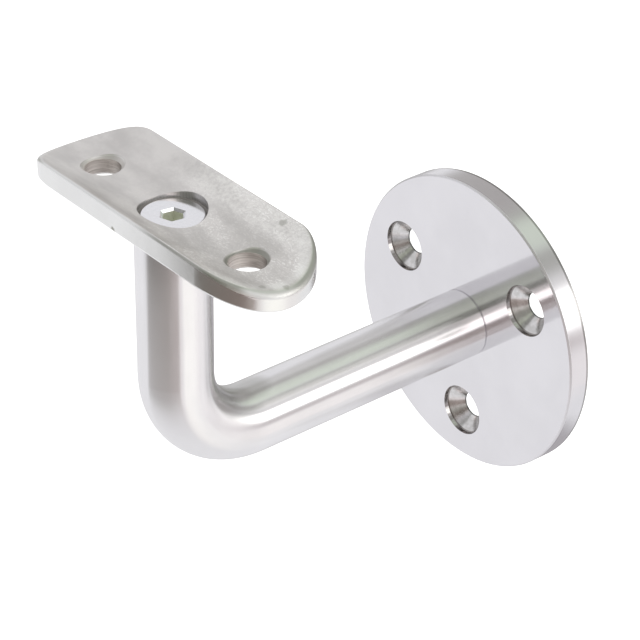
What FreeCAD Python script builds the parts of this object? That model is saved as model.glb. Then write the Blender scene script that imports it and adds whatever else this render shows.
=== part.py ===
import FreeCAD, Part
import math
import os
from FreeCAD import Vector

# Wall bracket for a round handrail, in millimetres.
# The origin is the centre of the wall plate on the wall's surface. +Y runs into the wall,
# the arm comes out along -Y and turns up to +Z, and the rail runs along X on the saddle.

# Wall plate, a turned disc that is hollow behind so that only its rim bears on the wall
plate_diameter = 70.0
plate_thickness = 5.5
plate_front_break = 0.35
plate_back_break = 0.3
hollow_depth = 1.3
hollow_rim_width = 4.0
hollow_corner_bevel = 0.5

# Countersunk holes for three wall screws, spaced evenly on a circle
wall_hole_count = 3
wall_hole_circle = 46.5
wall_hole_diameter = 6.0
wall_sink_diameter = 12.0
wall_sink_lip = 1.0
first_wall_hole_deg = 32.9

# Arm, a round bar with one quarter bend: reach is from the wall to the axis of the upright,
# and rise is from the axis of the level leg to the underside of the saddle
bar_diameter = 15.8
bar_reach = 85.8
bar_rise = 52.3
bend_radius = 19.0
bar_end_break = 0.25

# Saddle, a plate with round ends that is bent to the rail
rail_diameter = 42.4
saddle_length = 75.0
saddle_width = 26.0
saddle_thickness = 4.4
saddle_side_round = 0.5
saddle_end_round = 1.8
saddle_under_break = 0.4

# Holes in the saddle for the rail's two screws, which come up from below
rail_hole_spacing = 48.0
rail_hole_diameter = 7.5
rail_hole_chamfer = 0.5
rail_sink_depth = 0.8

# Countersunk screws with a hexagon socket, one on each end of the bar
thread_diameter = 6.0
head_diameter = 13.4
head_edge = 0.5
head_bevel = 0.35
socket_width = 4.0
socket_bevel = 0.5
socket_depth = 3.0
socket_turn_deg = 20.0
tip_bevel = 0.8
head_sink = 0.6
head_side_gap = 0.4
shank_side_gap = 0.2
thread_side_gap = 0.05
saddle_screw_length = 16.0
plate_screw_length = 20.0
tapping_spare = 2.5

# Half angles of the countersinks and of the drill's point
sink_half_angle = math.radians(45.0)
drill_half_angle = math.radians(59.0)

# Values that follow from the sizes above
plate_radius = plate_diameter / 2
bar_radius = bar_diameter / 2
rail_radius = rail_diameter / 2
under_radius = rail_radius + saddle_thickness
dish_height = bar_rise + saddle_thickness
past = 1.0


def turned(points):
    """Solid of revolution about Z through corner points given as (radius, height)."""
    corners = [Vector(radius, 0, height) for radius, height in points]
    outline = Part.makePolygon(corners + corners[:1])
    return Part.Face(outline).revolve(Vector(), Vector(0, 0, 1), 360)


def facing_room(shape):
    """Turn a shape that was built along +Z so that it points out of the wall, along -Y."""
    shape.rotate(Vector(), Vector(1, 0, 0), 90)
    return shape


def facing_wall(shape):
    """Turn a shape that was built along +Z so that it points into the wall, along +Y."""
    shape.rotate(Vector(), Vector(1, 0, 0), -90)
    return shape


def on_circle(radius, angle_deg):
    angle = math.radians(angle_deg)
    return Vector(radius * math.cos(angle), radius * math.sin(angle), 0)


# Screws and the spaces that they need

def head_cone_height(radius):
    """Height of the head's cone from its widest ring in to a smaller radius."""
    return (head_diameter / 2 - radius) / math.tan(sink_half_angle)


def socket_outline(width, height):
    """Hexagon at one height, with its width between two flats."""
    corner_radius = width / 2 / math.cos(math.pi / 6)
    corners = [on_circle(corner_radius, socket_turn_deg + 60 * side) for side in range(7)]
    outline = Part.makePolygon(corners)
    outline.translate(Vector(0, 0, height))
    return outline


def socket():
    """Hexagon socket with a bevelled mouth, as deep as its flats go and then a drill's point."""
    mouth = Part.makeLoft([
        socket_outline(socket_width + 2 * socket_bevel, 0),
        socket_outline(socket_width, -socket_bevel),
    ], True, True)
    corner_radius = socket_width / 2 / math.cos(math.pi / 6)
    slope = math.tan(drill_half_angle)
    tip = -socket_depth - corner_radius / slope
    wide = corner_radius + past
    pit = turned([(0, 0), (wide, 0), (wide, tip + wide / slope), (0, tip)])
    flats = Part.Face(socket_outline(socket_width, 0)).extrude(Vector(0, 0, tip))
    return mouth.fuse(flats.common(pit))


def screw(length):
    """Countersunk screw that points down, with the top of its head at height 0."""
    head_radius = head_diameter / 2
    shank_radius = thread_diameter / 2
    neck = -head_edge - head_cone_height(shank_radius)
    body = turned([
        (0, 0),
        (head_radius - head_bevel, 0),
        (head_radius, -head_bevel),
        (head_radius, -head_edge),
        (shank_radius, neck),
        (shank_radius, tip_bevel - length),
        (shank_radius - tip_bevel, -length),
        (0, -length),
    ])
    return body.cut(socket())


def head_space(above):
    """Countersink and lip around a screw's head, open upwards."""
    lip_radius = head_diameter / 2 + head_side_gap
    shank_radius = thread_diameter / 2
    return turned([
        (0, above),
        (lip_radius, above),
        (lip_radius, -head_edge - head_cone_height(lip_radius)),
        (shank_radius, -head_edge - head_cone_height(shank_radius)),
        (0, -head_edge - head_cone_height(shank_radius)),
    ])


def shank_space(length):
    """Clearance hole for a screw's shank."""
    radius = thread_diameter / 2 + shank_side_gap
    return Part.makeCylinder(radius, length, Vector(0, 0, -length))


def tapped_space(length):
    """Tapped hole at the thread's outer size, with the cone that the drill leaves."""
    radius = thread_diameter / 2 + thread_side_gap
    depth = length + tapping_spare
    point = radius / math.tan(drill_half_angle)
    return turned([(0, 0), (radius, 0), (radius, -depth), (0, -depth - point)])


def at_saddle(shape):
    """Move a shape from the screw's own frame to the saddle's screw."""
    shape.translate(Vector(0, -bar_reach, dish_height - head_sink))
    return shape


def at_plate(shape):
    """Move a shape from the screw's own frame to the screw behind the plate."""
    facing_wall(shape)
    shape.translate(Vector(0, -hollow_depth - head_sink, 0))
    return shape


# Pieces

def wall_hole():
    """Countersunk hole through the plate, built on Z with the wall at height 0."""
    hole_radius = wall_hole_diameter / 2
    sink_radius = wall_sink_diameter / 2
    sink_top = plate_thickness - wall_sink_lip
    sink_bottom = sink_top - (sink_radius - hole_radius) / math.tan(sink_half_angle)
    return turned([
        (0, -past),
        (hole_radius, -past),
        (hole_radius, sink_bottom),
        (sink_radius, sink_top),
        (sink_radius, plate_thickness + past),
        (0, plate_thickness + past),
    ])


def wall_plate():
    hollow_radius = plate_radius - hollow_rim_width
    disc = turned([
        (0, hollow_depth),
        (hollow_radius - hollow_corner_bevel, hollow_depth),
        (hollow_radius, hollow_depth - hollow_corner_bevel),
        (hollow_radius, 0),
        (plate_radius - plate_back_break, 0),
        (plate_radius, plate_back_break),
        (plate_radius, plate_thickness - plate_front_break),
        (plate_radius - plate_front_break, plate_thickness),
        (0, plate_thickness),
    ])
    for number in range(wall_hole_count):
        hole = wall_hole()
        hole.translate(on_circle(wall_hole_circle / 2, first_wall_hole_deg + 360 / wall_hole_count * number))
        disc = disc.cut(hole)
    plate = facing_room(disc)
    plate = plate.cut(at_plate(head_space(hollow_depth + past)))
    return plate.cut(at_plate(shank_space(plate_thickness + past)))


def support_arm():
    """Bar bent a quarter turn, its top end coped to the saddle and both ends tapped."""
    start = Vector(0, -plate_thickness, 0)
    bend_start = Vector(0, bend_radius - bar_reach, 0)
    bend_centre = Vector(0, bend_radius - bar_reach, bend_radius)
    bend_end = Vector(0, -bar_reach, bend_radius)
    bend_middle = bend_centre + Vector(0, -1, -1) * (bend_radius / math.sqrt(2))
    top = Vector(0, -bar_reach, bar_rise + bar_radius)
    path = Part.Wire([
        Part.LineSegment(start, bend_start).toShape(),
        Part.Arc(bend_start, bend_middle, bend_end).toShape(),
        Part.LineSegment(bend_end, top).toShape(),
    ])
    section = Part.Wire(Part.makeCircle(bar_radius, start, Vector(0, -1, 0)))
    bar = path.makePipeShell([section], True, False)
    wall_end = [edge for edge in bar.Edges if edge.BoundBox.YMin > -plate_thickness - 1e-4]
    bar = bar.makeChamfer(bar_end_break, wall_end)
    bar = bar.cut(lengthwise_cylinder(under_radius))
    for place, length in ((at_saddle, saddle_screw_length), (at_plate, plate_screw_length)):
        bar = bar.cut(place(head_space(past)))
        bar = bar.cut(place(tapped_space(length)))
    return bar


def lengthwise_cylinder(radius):
    """Cylinder about the rail's axis, longer than the saddle."""
    length = saddle_length + 2 * past
    centre = Vector(-length / 2, -bar_reach, dish_height + rail_radius)
    return Part.makeCylinder(radius, length, centre, Vector(1, 0, 0))


def saddle_outline():
    """Straight sides and round ends, each end drawn as two quarter circles."""
    half_width = saddle_width / 2
    centre = saddle_length / 2 - half_width
    diagonal = half_width / math.sqrt(2)
    edges = []
    for end in (1, -1):
        side_in = Vector(end * centre, -end * half_width, 0)
        tip = Vector(end * (centre + half_width), 0, 0)
        side_out = Vector(end * centre, end * half_width, 0)
        first = Vector(end * (centre + diagonal), -end * diagonal, 0)
        second = Vector(end * (centre + diagonal), end * diagonal, 0)
        edges.append(Part.Arc(side_in, first, tip).toShape())
        edges.append(Part.Arc(tip, second, side_out).toShape())
        next_side = Vector(-end * centre, end * half_width, 0)
        edges.append(Part.LineSegment(side_out, next_side).toShape())
    outline = Part.Wire(edges)
    outline.translate(Vector(0, -bar_reach, bar_rise - past))
    return outline


def from_rail_axis(point):
    return math.hypot(point.y + bar_reach, point.z - dish_height - rail_radius)


def edges_at_rail_distance(shape, radius):
    """Numbers of the edges whose ends and middle all lie at one distance from the rail's axis."""
    numbers = []
    for number, edge in enumerate(shape.Edges):
        first, last = edge.ParameterRange
        points = [edge.valueAt(parameter) for parameter in (first, (first + last) / 2, last)]
        if all(abs(from_rail_axis(point) - radius) < 1e-3 for point in points):
            numbers.append(number)
    return numbers


def ends_anticlockwise(edge):
    """Ends of an edge in the order in which a walk round the saddle meets them, seen from above."""
    first, last = [edge.valueAt(parameter) for parameter in edge.ParameterRange]
    centre = Vector(0, -bar_reach, 0)
    turn = (first - centre).cross(last - centre).z
    return (first, last) if turn > 0 else (last, first)


def top_round_at(point):
    """Rounding of the saddle's upper edge, fullest at the two tips."""
    at_tip = abs(abs(point.x) - saddle_length / 2) < 1e-3
    return saddle_end_round if at_tip else saddle_side_round


def round_top_edge(shape):
    """Round the upper edge with a radius that grows along each end to its tip."""
    document = FreeCAD.newDocument("saddle")
    base = document.addObject("Part::Feature", "blank")
    base.Shape = shape
    rounding = document.addObject("Part::Fillet", "rounding")
    rounding.Base = base
    sizes = []
    for number in edges_at_rail_distance(shape, rail_radius):
        first, last = ends_anticlockwise(shape.Edges[number])
        sizes.append((number + 1, top_round_at(first), top_round_at(last)))
    rounding.Edges = sizes
    document.recompute()
    rounded = rounding.Shape.copy()
    FreeCAD.closeDocument(document.Name)
    return rounded


def rail_hole():
    """Hole for a rail screw, broken above and sunk below, with the dish's floor at height 0."""
    hole_radius = rail_hole_diameter / 2
    mouth_radius = hole_radius + rail_hole_chamfer + past
    sink_slope = math.tan(sink_half_angle)
    return turned([
        (0, -saddle_thickness - past),
        (hole_radius + (rail_sink_depth + past) * sink_slope, -saddle_thickness - past),
        (hole_radius, rail_sink_depth - saddle_thickness),
        (hole_radius, -rail_hole_chamfer),
        (mouth_radius, past),
        (0, past),
    ])


def rail_saddle():
    """Saddle bent to the rail: a slice between two cylinders about the rail's axis."""
    blank = Part.Face(saddle_outline()).extrude(Vector(0, 0, under_radius))
    blank = blank.common(lengthwise_cylinder(under_radius))
    blank = blank.cut(lengthwise_cylinder(rail_radius))
    blank = round_top_edge(blank)
    under_edges = [blank.Edges[number] for number in edges_at_rail_distance(blank, under_radius)]
    saddle = blank.makeChamfer(saddle_under_break, under_edges)
    for side in (-1, 1):
        hole = rail_hole()
        hole.translate(Vector(side * rail_hole_spacing / 2, -bar_reach, dish_height))
        saddle = saddle.cut(hole)
    saddle = saddle.cut(at_saddle(head_space(head_sink + rail_radius)))
    return saddle.cut(at_saddle(shank_space(saddle_thickness + past)))


pieces = {
    "wall_plate": wall_plate(),
    "support_arm": support_arm(),
    "rail_saddle": rail_saddle(),
    "saddle_screw": at_saddle(screw(saddle_screw_length)),
    "plate_screw": at_plate(screw(plate_screw_length)),
}

os.makedirs("parts", exist_ok=True)
for name, shape in pieces.items():
    shape.exportStep(os.path.join("parts", name + ".step"))
    print(name, "valid", shape.isValid(), "solids", len(shape.Solids), "volume", round(shape.Volume, 1))
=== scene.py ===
import math

import bpy
from mathutils import Matrix, Vector


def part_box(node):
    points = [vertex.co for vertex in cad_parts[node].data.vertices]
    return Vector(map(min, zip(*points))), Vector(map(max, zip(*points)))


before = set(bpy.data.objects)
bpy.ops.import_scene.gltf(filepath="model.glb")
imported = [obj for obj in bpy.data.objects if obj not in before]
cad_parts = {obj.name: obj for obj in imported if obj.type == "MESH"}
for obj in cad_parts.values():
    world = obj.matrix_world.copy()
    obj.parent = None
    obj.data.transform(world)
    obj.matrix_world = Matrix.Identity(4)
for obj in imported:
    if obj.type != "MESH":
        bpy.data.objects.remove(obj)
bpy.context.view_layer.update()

TO_DEGREES = 180 / math.pi

# Places on the bracket, in metres, read from the frame
plate_low, plate_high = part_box("wall_plate")
saddle_low, saddle_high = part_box("rail_saddle")
arm_low, arm_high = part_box("support_arm")
screw_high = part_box("saddle_screw")[1]
PLATE_FRONT = plate_low.y
PLATE_RADIUS = (plate_high.x - plate_low.x) / 2
BAR_RADIUS = (arm_high.x - arm_low.x) / 2
REACH = -(saddle_low.y + saddle_high.y) / 2
HEAD_TOP = screw_high.z

# The plate's hollow back and its countersunk holes
HOLLOW_DEPTH = 0.0013
WALL_HOLE_RING = 0.02325
WALL_HOLE_ANGLES = [math.radians(32.9 + 120 * number) for number in range(3)]
WALL_BORE_RADIUS = 0.003
WALL_SINK_RADIUS = 0.006

# The bend between the bar's level leg and its upright
BEND_RADIUS = 0.019
BEND_Y = BEND_RADIUS - REACH
BEND_Z = BEND_RADIUS
BEND_INSIDE = BEND_RADIUS - BAR_RADIUS

# The rail that the saddle is bent to
SADDLE_THICKNESS = 0.0044
RAIL_RADIUS = 0.0212
RAIL_HEIGHT = saddle_low.z + SADDLE_THICKNESS + RAIL_RADIUS

# The saddle's holes, the lip round its screw, and its round ends
RAIL_HOLE_X = 0.024
RAIL_BORE_RADIUS = 0.00375
MOUTH_RADIUS = 0.00495
LIP_RADIUS = 0.0071
END_RADIUS = (saddle_high.y - saddle_low.y) / 2
END_MIDDLE = saddle_high.x - END_RADIUS

# The screw's socket: a circle that holds all of it, and where it starts below its bevelled mouth
SOCKET_RADIUS = 0.00295
SOCKET_TOP = HEAD_TOP - 0.0005

# Half the width of a sharp edge between two tones
SHARP = 0.00003

# The camera, in degrees and metres, with its lens and sensor in millimetres
AZIMUTH = 50.289
ELEVATION = 31.940
ROLL = 0.946
CAMERA_DISTANCE = 0.57047
CAMERA_ASIDE = -0.036608
CAMERA_LIFT = -0.001203
LENS = 140.79
SENSOR = 36.0

# The floor, from its middle to its sides and down from the bracket, and the lamps' side
FLOOR_SIZE = 3.0
FLOOR_DEPTH = 0.28
LAMP_SIZE = 0.6

# Sides of a flat piece's four corners, in order round it
CORNERS = ((-1, -1), (1, -1), (1, 1), (-1, 1))


# Nodes

class Shader:
    """Short calls for building one node tree."""

    def __init__(self, tree):
        self.tree = tree

    def node(self, kind, **inputs):
        """A node with its named inputs fed. An input's name has _ where the socket has a space."""
        made = self.tree.nodes.new("ShaderNode" + kind)
        for name, value in inputs.items():
            self.feed(made.inputs[name.replace("_", " ")], value)
        return made

    def feed(self, socket, value):
        if isinstance(value, bpy.types.NodeSocket):
            self.tree.links.new(value, socket)
        else:
            socket.default_value = value

    def math(self, operation, *values):
        made = self.node("Math")
        made.operation = operation
        for socket, value in zip(made.inputs, values):
            self.feed(socket, value)
        return made.outputs[0]

    def plus(self, first, second):
        return self.math("ADD", first, second)

    def minus(self, first, second):
        return self.math("SUBTRACT", first, second)

    def times(self, first, second):
        return self.math("MULTIPLY", first, second)

    def vector(self, operation, *values):
        made = self.node("VectorMath")
        made.operation = operation
        for socket, value in zip(made.inputs, values):
            self.feed(socket, value)
        return made.outputs["Value" if operation in ("LENGTH", "DISTANCE") else "Vector"]

    def parts(self, vector):
        """The three parts of a vector."""
        return list(self.node("SeparateXYZ", Vector=vector).outputs)

    def line(self, value):
        """A place on a line, for noise that changes in one direction only."""
        return self.node("CombineXYZ", X=value, Y=0.0, Z=0.0).outputs[0]

    def length(self, first, second):
        """Length of a two-part vector."""
        return self.vector("LENGTH", self.node("CombineXYZ", X=first, Y=second, Z=0.0).outputs[0])

    def ramp(self, value, low, high, to_low=0.0, to_high=1.0):
        """value from low to high becomes to_low to to_high, held outside."""
        made = self.node("MapRange", Value=value)
        made.interpolation_type = "SMOOTHSTEP"
        made.inputs["From Min"].default_value = low
        made.inputs["From Max"].default_value = high
        made.inputs["To Min"].default_value = to_low
        made.inputs["To Max"].default_value = to_high
        return made.outputs[0]

    def inside(self, value, limit, soft=SHARP):
        """1 where value is under limit and 0 where it is over, with a step of soft to each side."""
        return self.ramp(value, limit + soft, limit - soft)

    def mix(self, factor, first, second):
        """From the first colour to the second. The colour sockets are numbered, because the node's
        other sockets have the same names."""
        made = self.node("Mix")
        made.data_type = "RGBA"
        self.feed(made.inputs["Factor"], factor)
        self.feed(made.inputs[6], first)
        self.feed(made.inputs[7], second)
        return made.outputs[2]

    def mix_shaders(self, factor, first, second):
        made = self.node("MixShader")
        for socket, value in zip(made.inputs, (factor, first.outputs[0], second.outputs[0])):
            self.feed(socket, value)
        return made.outputs[0]

    def noise(self, place, scale, detail=3.0, rough=0.55):
        made = self.node("TexNoise", Vector=place, Scale=scale, Detail=detail, Roughness=rough)
        return made.outputs["Fac"]


def rgb(red, green, blue):
    return (red, green, blue, 1.0)


def new_material(name):
    """Material with an empty node tree, and the calls that fill the tree."""
    material = bpy.data.materials.new(name)
    material.use_nodes = True
    material.node_tree.nodes.clear()
    return material, Shader(material.node_tree)


def flat_piece(name, corners, material):
    """One face with four corners."""
    mesh = bpy.data.meshes.new(name)
    mesh.from_pydata(corners, [], [(0, 1, 2, 3)])
    mesh.materials.append(material)
    piece = bpy.data.objects.new(name, mesh)
    bpy.context.scene.collection.objects.link(piece)
    return piece


# Studio

WHITE = rgb(1, 1, 1)
FLOOR_COLOUR = rgb(0.8, 0.8, 0.8)
ROOM_ABOVE = rgb(0.90, 0.90, 0.92)
ROOM_BELOW = rgb(0.99, 0.99, 1.01)

# The room's two colours meet over this many degrees above and below level
HORIZON = 10

# Y part of a direction at which the strips start to show, and at which they show in full
STRIP_FADE = (0.12, 0.34)

# Long soft strips that run along Y, behind the plate and before it: middle and width as angles
# round Y above level, softness of the edges, all in degrees, and the colour
STRIPS_BEHIND = [
    (40, 16, 6, rgb(0.86, 0.85, 0.85)),
    (57, 20, 7, rgb(0.48, 0.48, 0.45)),
    (83, 30, 8, rgb(0.78, 0.85, 0.74)),
    (104, 18, 8, rgb(0.48, 0.48, 0.45)),
    (121, 20, 10, rgb(0.78, 0.78, 0.77)),
    (19, 27, 5, rgb(2.6, 2.58, 2.5)),
    (-5, 13, 5, rgb(0.64, 0.58, 0.58)),
    (-30, 34, 8, rgb(1.06, 1.02, 1.02)),
]
STRIPS_BEFORE = [
    (88, 46, 6, rgb(0.60, 0.64, 0.53)),
    (58, 20, 4, rgb(0.13, 0.14, 0.09)),
    (40, 18, 5, rgb(1.1, 1.04, 1.0)),
    (19, 26, 5, rgb(1.15, 1.08, 1.05)),
    (-6, 18, 5, rgb(0.42, 0.34, 0.32)),
    (-30, 30, 8, rgb(1.02, 0.96, 0.96)),
]

# The bright strip as the bar finds it in the plate, after a second reflection
STRIPS_TWICE = [
    (19, 26, 5, rgb(2.8, 2.62, 2.56)),
]

# Patches of the far room: middle bearing and width, lowest and highest angle above level,
# softness of the edges, all in degrees, and the colour
CARDS = [
    (7, 38, -62, -8, 12, rgb(1.26, 1.24, 1.20)),
    (124, 50, -52, -12, 10, rgb(0.45, 0.44, 0.44)),
    (94, 80, -10, 26, 8, rgb(0.62, 0.62, 0.61)),
    (22, 22, 41, 57, 5, rgb(2.0, 1.98, 1.94)),
    (-82, 60, -24, 40, 10, rgb(0.30, 0.30, 0.27)),
    (-108, 26, 34, 50, 6, rgb(0.26, 0.26, 0.25)),
    (108, 30, -12, 12, 8, rgb(0.26, 0.26, 0.22)),
    (172, 30, -12, 12, 8, rgb(0.30, 0.30, 0.26)),
]

# Upright cards near the bracket: name, middle, width and height, how far the ends and the long
# sides fade, the colours at the left and the right end, and the tilt in degrees
NEAR_CARDS = [
    ("front_card", (0.088, -0.186, -0.056), (0.318, 0.12), (0.022, 0.022),
     (rgb(0.46, 0.44, 0.43), rgb(0.36, 0.29, 0.26)), 16),
    ("side_card", (0.0335, -0.125, 0.042), (0.127, 0.040), (0.027, 0.009),
     (rgb(0.19, 0.185, 0.17), rgb(0.26, 0.20, 0.18)), 0),
    ("upper_card", (-0.046, 0.030, 0.077), (0.108, 0.086), (0.012, 0.012),
     (rgb(0.54, 0.53, 0.52), rgb(0.50, 0.48, 0.47)), 0),
    ("lower_card", (-0.02, 0.030, -0.0815), (0.16, 0.067), (0.012, 0.012),
     (rgb(0.44, 0.42, 0.44), rgb(0.50, 0.48, 0.50)), 0),
]


def near_angle(s, angle, middle, width, soft):
    """1 where an angle lies within a width about the middle, all in degrees."""
    off = s.math("ABSOLUTE", s.math("WRAP", s.minus(angle, middle), 180.0, -180.0))
    return s.inside(off, width / 2, soft / 2)


def room_colour(s, direction, path):
    """What polished metal sees in a direction: a pale room with soft strips and cards in it."""
    x, y, z = s.parts(direction)
    bearing = s.times(s.math("ARCTAN2", y, x), TO_DEGREES)
    height = s.times(s.math("ARCSINE", z), TO_DEGREES)
    colour = s.mix(s.ramp(height, -HORIZON, HORIZON), ROOM_BELOW, ROOM_ABOVE)
    round_y = s.times(s.math("ARCTAN2", z, x), TO_DEGREES)
    start, full = STRIP_FADE
    behind = s.ramp(y, start, full)
    before = s.ramp(y, -start, -full)
    # Glossy Depth is a whole number, and this is 1 from the second reflection on
    again = s.ramp(path.outputs["Glossy Depth"], 1.2, 1.8)
    twice = s.times(before, again)
    for part, strips in ((behind, STRIPS_BEHIND), (before, STRIPS_BEFORE), (twice, STRIPS_TWICE)):
        for middle, width, soft, tint in strips:
            colour = s.mix(s.times(near_angle(s, round_y, middle, width, soft), part), colour, tint)
    for middle, width, low, high, soft, tint in CARDS:
        level = near_angle(s, bearing, middle, width, soft)
        above = s.ramp(height, low - soft / 2, low + soft / 2)
        below = s.ramp(height, high + soft / 2, high - soft / 2)
        colour = s.mix(s.times(level, s.times(above, below)), colour, tint)
    return colour


def studio_world():
    """White to the camera, and the room to everything else."""
    world = bpy.data.worlds.new("studio")
    bpy.context.scene.world = world
    world.use_nodes = True
    world.node_tree.nodes.clear()
    s = Shader(world.node_tree)
    path = s.node("LightPath")
    direction = s.node("TexCoord").outputs["Generated"]
    seen = s.node("Background", Color=WHITE, Strength=1.0)
    room = s.node("Background", Color=room_colour(s, direction, path), Strength=1.0)
    s.node("OutputWorld", Surface=s.mix_shaders(path.outputs["Is Camera Ray"], room, seen))


def near_card(name, middle, size, edges, colours, tilt):
    """Upright card that only polished metal sees. tilt lowers its right end."""
    width, height = size
    material, s = new_material(name)
    x, _, z = s.parts(s.node("TexCoord").outputs["Object"])
    ends = s.ramp(s.math("ABSOLUTE", x), width / 2, width / 2 - edges[0])
    sides = s.ramp(s.math("ABSOLUTE", z), height / 2, height / 2 - edges[1])
    shade = s.mix(s.ramp(x, -width / 2, width / 2), *colours)
    clear = s.node("BsdfTransparent")
    card = s.node("Emission", Color=shade, Strength=1.0)
    s.node("OutputMaterial", Surface=s.mix_shaders(s.times(ends, sides), clear, card))
    corners = [(side * width / 2, 0, end * height / 2) for side, end in CORNERS]
    piece = flat_piece(name, corners, material)
    piece.location = middle
    piece.rotation_euler = (0, math.radians(tilt), 0)
    piece.visible_camera = False
    piece.visible_diffuse = False
    piece.visible_shadow = False
    piece.visible_transmission = False


def floor():
    """Pale floor well below the bracket, white to the camera and left out of the metal."""
    material, s = new_material("floor")
    path = s.node("LightPath")
    plain = s.node("BsdfDiffuse", Color=FLOOR_COLOUR)
    glow = s.node("Emission", Color=WHITE, Strength=s.times(path.outputs["Is Camera Ray"], 0.5))
    both = s.node("AddShader")
    for socket, shader in zip(both.inputs, (plain, glow)):
        s.feed(socket, shader.outputs[0])
    s.node("OutputMaterial", Surface=both.outputs[0])
    corners = [(side * FLOOR_SIZE, end * FLOOR_SIZE, -FLOOR_DEPTH) for side, end in CORNERS]
    piece = flat_piece("floor", corners, material)
    piece.visible_glossy = False


def soft_lamp(name, place, power):
    """Square lamp that faces the bracket and isn't seen in the metal."""
    data = bpy.data.lights.new(name, "AREA")
    data.size = LAMP_SIZE
    data.energy = power
    lamp = bpy.data.objects.new(name, data)
    lamp.location = place
    lamp.rotation_euler = (-Vector(place)).to_track_quat("-Z", "Y").to_euler()
    bpy.context.scene.collection.objects.link(lamp)
    lamp.visible_glossy = False


def set_camera():
    """The photograph's view, from above and to the right of the arm."""
    azimuth = math.radians(AZIMUTH)
    elevation = math.radians(ELEVATION)
    roll = math.radians(ROLL)
    back = Vector((math.sin(azimuth) * math.cos(elevation),
                   -math.cos(azimuth) * math.cos(elevation),
                   math.sin(elevation)))
    level = Vector((math.cos(azimuth), math.sin(azimuth), 0))
    upright = back.cross(level)
    right = math.cos(roll) * level + math.sin(roll) * upright
    up = math.cos(roll) * upright - math.sin(roll) * level
    place = back * CAMERA_DISTANCE + right * CAMERA_ASIDE + up * CAMERA_LIFT
    data = bpy.data.cameras.new("camera")
    data.sensor_width = SENSOR
    data.lens = LENS
    camera = bpy.data.objects.new("camera", data)
    rotation = Matrix((right, up, back)).transposed().to_4x4()
    camera.matrix_world = Matrix.Translation(place) @ rotation
    bpy.context.scene.collection.objects.link(camera)
    bpy.context.scene.camera = camera


# Steel

# Painted shade: a dark tone laid inside the bar's bend and along the saddle's rounded edge, standing in
# for the shade and dark reflections there
PAINTED_SHADE = rgb(0.36, 0.36, 0.33)

# Stains on the saddle: middle, size and strength
STAINS = [
    ((0.0211, -0.0748, 0.0598), 0.0009, 0.55),
    ((-0.0020, -0.0988, 0.0562), 0.0006, 1.0),
    ((0.0340, -0.0900, 0.0570), 0.0008, 0.5),
    ((0.0362, -0.0860, 0.0568), 0.0007, 0.5),
]


def finish_steel(s, colour, roughness, height, strength, depth, drawn=0.0, along=None):
    """Steel with its own colour, roughness and fine relief. strength and depth are those of the
    relief, drawn is how far the shine is drawn out, and along the direction in which it is."""
    relief = s.node("Bump", Height=height, Strength=strength, Distance=depth)
    metal = s.node("BsdfPrincipled", Metallic=1.0, Base_Color=colour, Roughness=roughness,
                   Anisotropic=drawn, Normal=relief.outputs[0])
    if along is not None:
        s.feed(metal.inputs["Tangent"], along)
    s.node("OutputMaterial", Surface=metal.outputs[0])


def along_bar(s, y, z):
    """Direction of the bar's axis at each point, round the bend too."""
    before = s.math("MINIMUM", s.minus(y, BEND_Y), 0.0)
    below = s.math("MINIMUM", s.minus(z, BEND_Z), 0.0)
    turned = s.node("CombineXYZ", X=0.0, Y=s.times(below, -1.0), Z=before)
    return s.vector("NORMALIZE", turned.outputs[0])


def streaks_along(s, place, squeeze):
    """Fine noise, drawn out into streaks along the axis that squeeze makes short."""
    return s.noise(s.vector("MULTIPLY", place, squeeze), 4200)


def bar_steel():
    """Bar ground along its length: its shine is drawn out along it, and so are its faint marks."""
    material, s = new_material("bar_steel")
    place = s.node("TexCoord").outputs["Object"]
    _, y, z = s.parts(place)
    upright = s.ramp(z, BEND_Z - 0.009, BEND_Z - 0.003)
    level = s.minus(1.0, upright)
    streaks = s.plus(s.times(streaks_along(s, place, (1, 1, 0.03)), upright),
                     s.times(streaks_along(s, place, (1, 0.03, 1)), level))
    cloud = s.noise(place, 90, 4)
    tone = s.mix(s.ramp(cloud, 0.3, 0.7), rgb(0.79, 0.78, 0.79), rgb(0.83, 0.82, 0.83))
    # Painted shade inside the bend, darkest at the inner corner, with a ragged edge
    from_bend = s.length(s.minus(y, BEND_Y), s.minus(z, BEND_Z))
    ragged = s.plus(from_bend, s.times(cloud, 0.0008))
    painted_crease_shade = s.ramp(ragged, BEND_INSIDE + 0.0019, BEND_INSIDE + 0.0003, 0.0, 0.6)
    tone = s.mix(painted_crease_shade, tone, PAINTED_SHADE)
    rough = s.plus(s.ramp(streaks, 0.3, 0.7, 0.235, 0.265), s.ramp(cloud, 0.3, 0.7, -0.01, 0.01))
    finish_steel(s, tone, rough, streaks, 0.03, 0.00001, 0.98, along_bar(s, y, z))
    return material


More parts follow.
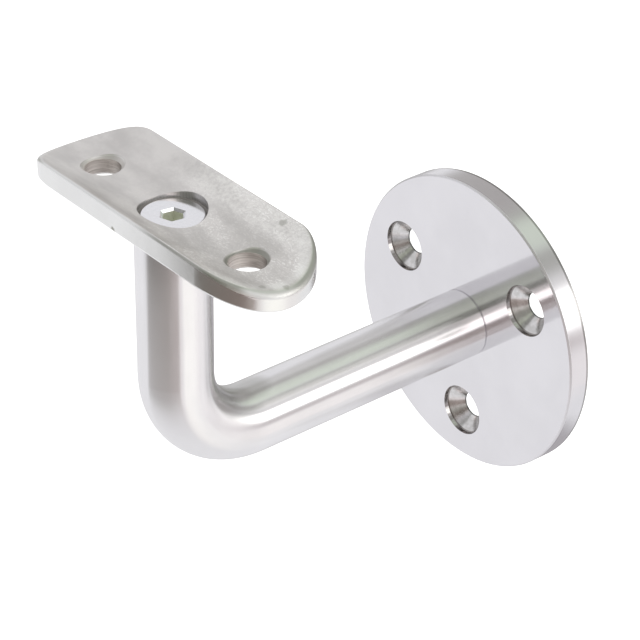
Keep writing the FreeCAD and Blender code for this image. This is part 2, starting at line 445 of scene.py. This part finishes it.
def plate_steel():
    """Turned and polished plate with a duller rim and broken edge, painted shade along its back edge
    and in its holes, and dull sinks round its holes.
    """
    material, s = new_material("plate_steel")
    place = s.node("TexCoord").outputs["Object"]
    x, y, z = s.parts(place)
    radius = s.length(x, z)
    rings = s.noise(s.line(radius), 3000)
    turned = s.noise(s.line(y), 4000)
    rim = s.ramp(radius, PLATE_RADIUS - 0.0004, PLATE_RADIUS - 0.0001)
    cloud = s.noise(place, 60, 4)
    tone = s.mix(s.ramp(cloud, 0.3, 0.7), rgb(0.71, 0.70, 0.72), rgb(0.75, 0.74, 0.76))
    rough = s.plus(s.ramp(cloud, 0.3, 0.7, 0.07, 0.11), s.times(rim, 0.14))
    # Painted shade: a thin dark line along the back edge of the rim
    painted_dark_back_edge = s.times(s.ramp(y, -0.0009, -0.0007),
                        s.ramp(radius, PLATE_RADIUS - 0.0006, PLATE_RADIUS - 0.0004))
    tone = s.mix(painted_dark_back_edge, tone, rgb(0.36, 0.35, 0.35))
    broken = s.times(s.ramp(radius, PLATE_RADIUS - 0.0004, PLATE_RADIUS - 0.0003),
                     s.ramp(y, PLATE_FRONT + 0.0005, PLATE_FRONT + 0.0003))
    rough = s.plus(rough, s.times(broken, 0.3))
    height = s.plus(s.times(turned, rim), s.times(rings, s.minus(1.0, rim)))
    smear = s.noise(place, 500, 4, 0.6)
    before_hollow = s.inside(y, -HOLLOW_DEPTH - 0.00009, 0.00005)
    for angle in WALL_HOLE_ANGLES:
        from_hole = s.length(s.minus(x, WALL_HOLE_RING * math.cos(angle)),
                             s.minus(z, WALL_HOLE_RING * math.sin(angle)))
        sink = s.times(s.inside(from_hole, WALL_SINK_RADIUS), before_hollow)
        bore = s.inside(from_hole, WALL_BORE_RADIUS + 0.00009)
        marks = s.noise(s.line(from_hole), 6000, 2)
        dull = s.mix(s.ramp(s.plus(smear, s.times(marks, 0.4)), 0.55, 0.85),
                     rgb(0.58, 0.57, 0.56), rgb(0.72, 0.71, 0.71))
        # Painted shade on the lip at the top of each sink and inside each bore
        lip = s.ramp(from_hole, WALL_SINK_RADIUS - 0.0003, WALL_SINK_RADIUS - 0.0002)
        dull = s.mix(lip, dull, rgb(0.30, 0.28, 0.27))
        tone = s.mix(sink, tone, dull)
        tone = s.mix(bore, tone, rgb(0.16, 0.16, 0.16))
        rough = s.plus(rough, s.times(sink, 0.12))
        height = s.plus(s.times(height, s.minus(1.0, sink)), s.times(marks, sink))
    finish_steel(s, tone, rough, height, 0.12, 0.00003)
    return material


def bright_nicks(s, place, patch):
    """Small wavy nicks, drawn out along the rail and thicker in some patches."""
    wave = s.node("TexNoise", Vector=place, Scale=420.0).outputs["Color"]
    bent = s.vector("ADD", place, s.vector("MULTIPLY", wave, (0.0022, 0.0022, 0.0022)))
    nicks = s.noise(s.vector("MULTIPLY", bent, (0.3, 1.0, 1.0)), 3600, 4, 0.6)
    return s.times(s.ramp(nicks, 0.53, 0.60), s.ramp(patch, 0.42, 0.58, 0.25, 1.0))


def dish_tone(s, x, y, speck, patch, wear, nicks):
    """Ground and matt, with painted light along the far edge, bright nicks, and a paler band near the
    right end.
    """
    blotch = s.ramp(s.plus(patch, s.times(speck, 0.25)), 0.42, 0.82)
    ground = s.mix(blotch, rgb(0.60, 0.58, 0.567), rgb(0.74, 0.718, 0.70))
    worn = s.mix(blotch, rgb(0.57, 0.554, 0.532), rgb(0.80, 0.776, 0.752))
    tone = s.mix(wear, ground, worn)
    # Painted light: a paler band along the dish's far edge, on its right half, where light falls across
    # the curve
    painted_light_far_edge = s.times(s.ramp(y, 0.0055, 0.0095), s.ramp(x, -0.016, 0.004))
    painted_light_far_edge = s.times(painted_light_far_edge, s.ramp(speck, 0.35, 0.65, 0.15, 0.6))
    tone = s.mix(painted_light_far_edge, tone, rgb(0.90, 0.89, 0.86))
    tone = s.mix(nicks, tone, rgb(1.0, 0.99, 0.97))
    from_end = s.length(s.minus(x, END_MIDDLE), y)
    # A paler, patchy band a few millimetres in from the right end's edge
    pale_end_band = s.times(s.ramp(from_end, END_RADIUS - 0.0042, END_RADIUS - 0.0024), s.ramp(x, 0.024, 0.030))
    pale_end_band = s.times(pale_end_band, s.ramp(patch, 0.35, 0.65, 0.2, 0.7))
    return s.mix(pale_end_band, tone, rgb(0.90, 0.90, 0.87))


def painted_edge_shade(s, x, y):
    """How dark the painted shade on the rounded edge is, by the angle round the right end in radians.
    """
    turned = s.math("ARCTAN2", y, s.minus(x, END_MIDDLE))
    dark = s.plus(s.ramp(turned, -0.62, -0.86, 0.3, 0.95), s.ramp(turned, -0.1, 0.3, 0.0, 0.5))
    return s.times(dark, s.ramp(x, 0.004, 0.014))


def stained(s, place, tone):
    """The tone with its small ragged stains."""
    ragged = s.noise(place, 700, 4, 0.6)
    for middle, size, strength in STAINS:
        off = s.minus(s.vector("DISTANCE", place, middle), s.times(ragged, 2.2 * size))
        stain = s.ramp(off, 0.2 * size, -0.6 * size, 0.0, strength)
        tone = s.mix(stain, tone, rgb(0.34, 0.34, 0.30))
    return tone


def bore_marks_and_painted_shade(s, x, marks):
    """Turning marks inside the rail's holes, with painted shade that darkens them towards the right of
    each hole.
    """
    cut = s.mix(s.ramp(marks, 0.35, 0.65), rgb(0.60, 0.56, 0.53), rgb(0.84, 0.80, 0.77))
    across = s.minus(x, s.times(s.math("SIGN", x), RAIL_HOLE_X))
    return s.mix(s.ramp(across, -0.0018, 0.0030), cut, rgb(0.22, 0.19, 0.17))


def saddle_steel():
    """Saddle with lightly polished sides and a matt, ground dish that is worn at its right end."""
    material, s = new_material("saddle_steel")
    place = s.node("TexCoord").outputs["Object"]
    x, from_wall, z = s.parts(place)
    y = s.plus(from_wall, REACH)

    # Regions, 1 inside and 0 outside
    dish = s.ramp(s.length(y, s.minus(z, RAIL_HEIGHT)), RAIL_RADIUS + 0.00030, RAIL_RADIUS + 0.00004)
    off_dish = s.minus(1.0, dish)
    up = s.parts(s.node("NewGeometry").outputs["Normal"])[2]
    rounding = s.times(s.ramp(up, 0.08, 0.5), off_dish)
    from_hole = s.length(s.minus(s.math("ABSOLUTE", x), RAIL_HOLE_X), y)
    lip = s.times(s.inside(s.length(x, y), LIP_RADIUS), off_dish)
    bore = s.times(s.ramp(from_hole, RAIL_BORE_RADIUS + 0.00008, RAIL_BORE_RADIUS + 0.00003), off_dish)
    mouth = s.times(s.inside(from_hole, MOUTH_RADIUS, 0.00005), off_dish)
    matt_part = s.math("MAXIMUM", dish, mouth)
    wear = s.ramp(x, -0.020, 0.032)

    # Noise
    speck = s.noise(place, 1100, 5, 0.65)
    cloud = s.noise(place, 90)
    patch = s.noise(s.vector("MULTIPLY", place, (0.5, 1.0, 1.0)), 170, 3, 0.5)
    marks = s.noise(s.node("CombineXYZ", X=s.times(x, 0.1), Y=0.0, Z=z).outputs[0], 3000)
    nicks = s.times(bright_nicks(s, place, patch), s.times(wear, dish))

    polished = s.mix(s.ramp(cloud, 0.3, 0.7), rgb(0.76, 0.76, 0.75), rgb(0.80, 0.80, 0.79))
    tone = s.mix(matt_part, polished, dish_tone(s, x, y, speck, patch, wear, nicks))
    # Painted shade on the rounded edge, dimming its reflections along the front and round the right end
    tone = s.mix(s.times(painted_edge_shade(s, x, y), rounding), tone, PAINTED_SHADE)
    tone = stained(s, place, tone)
    # Painted shade inside the rail's holes, over their turning marks
    tone = s.mix(bore, tone, bore_marks_and_painted_shade(s, x, marks))
    # Painted shade on the lip round the screw, where the gap beside the head lies in shade
    tone = s.mix(lip, tone, rgb(0.34, 0.32, 0.31))

    rough = s.plus(s.ramp(speck, 0.3, 0.7, 0.20, 0.26), s.times(matt_part, 0.19))
    rough = s.plus(rough, s.times(rounding, 0.2))
    rough = s.plus(rough, s.times(s.plus(lip, bore), 0.2))
    height = s.plus(s.times(speck, dish), s.times(marks, bore))
    height = s.plus(height, s.times(nicks, 0.8))
    finish_steel(s, tone, rough, height, 0.4, 0.00004)
    return material


def screw_steel():
    """Bright screw with an oily, dull socket."""
    material, s = new_material("screw_steel")
    place = s.node("TexCoord").outputs["Object"]
    x, y, z = s.parts(place)
    speck = s.noise(place, 1500, 4)
    from_screw = s.length(x, s.plus(y, REACH))
    socket = s.times(s.inside(from_screw, SOCKET_RADIUS, 0.00005), s.inside(z, SOCKET_TOP, 0.00002))
    tone = s.mix(s.ramp(speck, 0.3, 0.7), rgb(0.78, 0.78, 0.80), rgb(0.82, 0.82, 0.84))
    oily = s.mix(s.ramp(speck, 0.35, 0.65), rgb(0.78, 0.79, 0.70), rgb(0.88, 0.89, 0.81))
    tone = s.mix(socket, tone, oily)
    rough = s.plus(s.ramp(speck, 0.3, 0.7, 0.12, 0.18), s.times(socket, 0.4))
    finish_steel(s, tone, rough, speck, 0.1, 0.00002)
    return material


def dress(node, material):
    """Give a CAD piece its material."""
    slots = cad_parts[node].data.materials
    slots.clear()
    slots.append(material)


set_camera()
studio_world()
floor()
for card in NEAR_CARDS:
    near_card(*card)
soft_lamp("key", (0.5, -0.2, 0.9), 6)
soft_lamp("fill", (-0.6, -0.6, 0.5), 3)
dress("support_arm", bar_steel())
dress("wall_plate", plate_steel())
dress("rail_saddle", saddle_steel())
bolt_finish = screw_steel()
for bolt in ("saddle_screw", "plate_screw"):
    dress(bolt, bolt_finish)
bpy.context.scene.view_settings.view_transform = "Standard"
